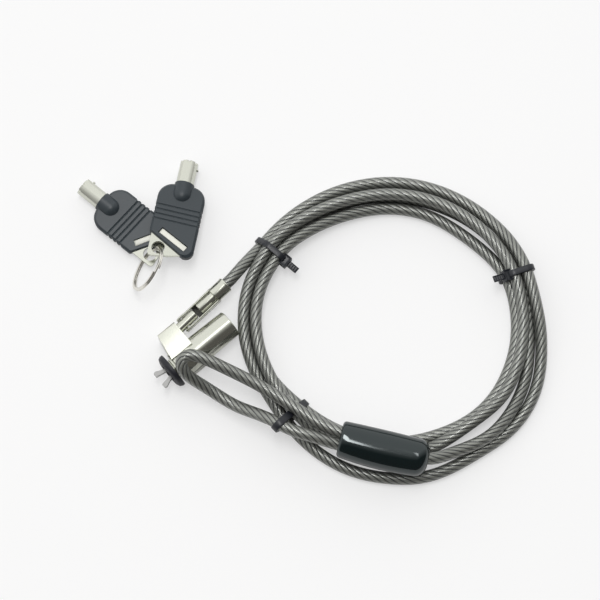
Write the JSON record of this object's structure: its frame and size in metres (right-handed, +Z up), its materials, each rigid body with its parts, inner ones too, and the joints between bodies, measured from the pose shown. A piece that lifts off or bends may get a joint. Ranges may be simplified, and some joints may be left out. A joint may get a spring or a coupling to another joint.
{
  "type": "laptop cable lock",
  "caption": "Keyed laptop cable lock: hinged, swivelling tubular-key lock head with two spreading claws on a coiled, jacketed steel cable with a sleeved end loop, and keys on a split ring.",
  "frame": {"origin": "on the surface that everything lies on, under the middle of the lock head and keys", "axes": "+Z up from the surface; +X towards the middle of the cable's coil; +Y towards the tips of the keys"},
  "size_m": [0.1968, 0.1359, 0.0214],
  "materials": {
    "cable": "smoky clear vinyl jacket over twisted steel rope",
    "sleeve": "glossy black moulding",
    "tie": "black nylon",
    "crimp": "pressed",
    "nickel": "satin nickel plate",
    "steel": "plain steel",
    "brass": "turned",
    "rubber": "matte",
    "bow": "fine matte black"
  },
  "bodies": {
    "cable": {"cable_coil": "cable", "cable_lead": "cable", "cable_feed": "cable", "cable_loop": "cable", "lead_ferrule": "nickel", "loop_crimp": "crimp", "loop_sleeve": "sleeve", "cable_tie_1": "tie", "cable_tie_2": "tie", "cable_tie_3": "tie"},
    "yoke": {"yoke": "nickel", "hinge_pin": "steel"},
    "lock_head": {"lock_body": "nickel", "face_ring": "nickel", "pin_carrier": "brass", "carrier_screw": "steel", "driver_pins": "steel", "pin_springs": "steel", "nose_bush": "nickel", "rubber_washer": "rubber", "claw_pins": "steel"},
    "core": {"lock_core": "nickel", "key_pins": "brass", "drive_spindle": "steel"},
    "claw_left": {"claw_left": "steel"},
    "claw_right": {"claw_right": "steel"},
    "key_ring": {"key_ring": "nickel"},
    "key_1": {"key_1_bow": "bow", "key_1_blade": "nickel"},
    "key_2": {"key_2_bow": "bow", "key_2_blade": "nickel"}
  },
  "joints": [
    {"name": "yoke_swivel", "type": "hinge", "parent": "cable", "child": "yoke", "pos_m": [0.02378, -0.01007, 0.00765], "axis": [0.7133, 0.7009, 0], "range_deg": [0, 150]},
    {"name": "yoke_tilt", "type": "hinge", "parent": "yoke", "child": "lock_head", "pos_m": [0.01222, -0.02143, 0.00765], "axis": [0.7009, -0.7133, 0], "range_deg": [0, 75]},
    {"name": "core_turn", "type": "hinge", "parent": "lock_head", "child": "core", "pos_m": [0.02292, -0.02824, 0.00765], "axis": [0.766, 0.6428, 0], "range_deg": [0, 90]},
    {"name": "claw_left_turn", "type": "hinge", "parent": "lock_head", "child": "claw_left", "pos_m": [0.00896, -0.03774, 0.00765], "axis": [0, 0, 1], "range_deg": [0, 9]},
    {"name": "claw_right_turn", "type": "hinge", "parent": "lock_head", "child": "claw_right", "pos_m": [0.01114, -0.04034, 0.00765], "axis": [0, 0, -1], "range_deg": [0, 9]},
    {"name": "key_set_lift", "type": "slide", "parent": "cable", "child": "key_ring", "axis": [0, 0, 1], "range_m": [0, 0.08]},
    {"name": "key_1_swing", "type": "hinge", "parent": "key_ring", "child": "key_1", "pos_m": [0.00092, 0.00972, 0.01158], "axis": [-0.0354, -0.1875, -0.9816], "range_deg": [0, 40]},
    {"name": "key_2_swing", "type": "hinge", "parent": "key_ring", "child": "key_2", "pos_m": [-0.00302, 0.00865, 0.0042], "axis": [0, 0, 1], "range_deg": [0, 30]}
  ],
  "couplings": [
    {"joint": "claw_left_turn", "follows": "core_turn", "ratio": 0.1},
    {"joint": "claw_right_turn", "follows": "core_turn", "ratio": 0.1}
  ]
}
